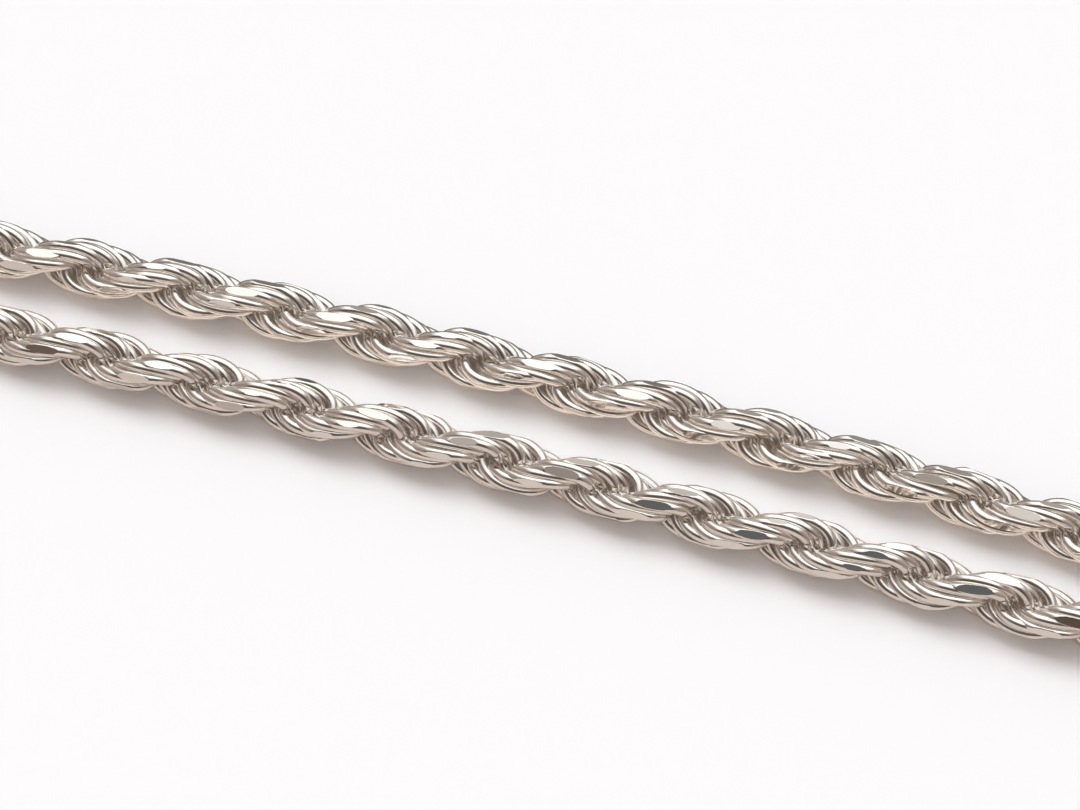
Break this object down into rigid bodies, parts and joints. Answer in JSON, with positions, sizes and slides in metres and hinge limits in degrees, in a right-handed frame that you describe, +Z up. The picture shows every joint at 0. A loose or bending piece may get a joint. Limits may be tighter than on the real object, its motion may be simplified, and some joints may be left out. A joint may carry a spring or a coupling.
{
  "type": "rope chain necklace",
  "caption": "Closed rope chain necklace of twisted silver links, lying flat as a long folded loop with open turns, soldered end caps, wire rings and a plain clasp.",
  "frame": {"origin": "on the surface that the chain lies on, under the middle of its bounding box", "axes": "+X along the long runs, from the clasp to the far turn; +Y from the front run to the back run; +Z up"},
  "size_m": [0.2125, 0.0308, 0.0042],
  "materials": {
    "rope": "bright sterling silver, links polished and diamond cut",
    "findings": "polished sterling silver"
  },
  "bodies": {
    "root": {"rope_back": "rope", "rope_front": "rope", "end_cap_back": "findings", "end_cap_front": "findings", "ring_back": "findings", "ring_front": "findings", "clasp": "findings"}
  },
  "joints": []
}
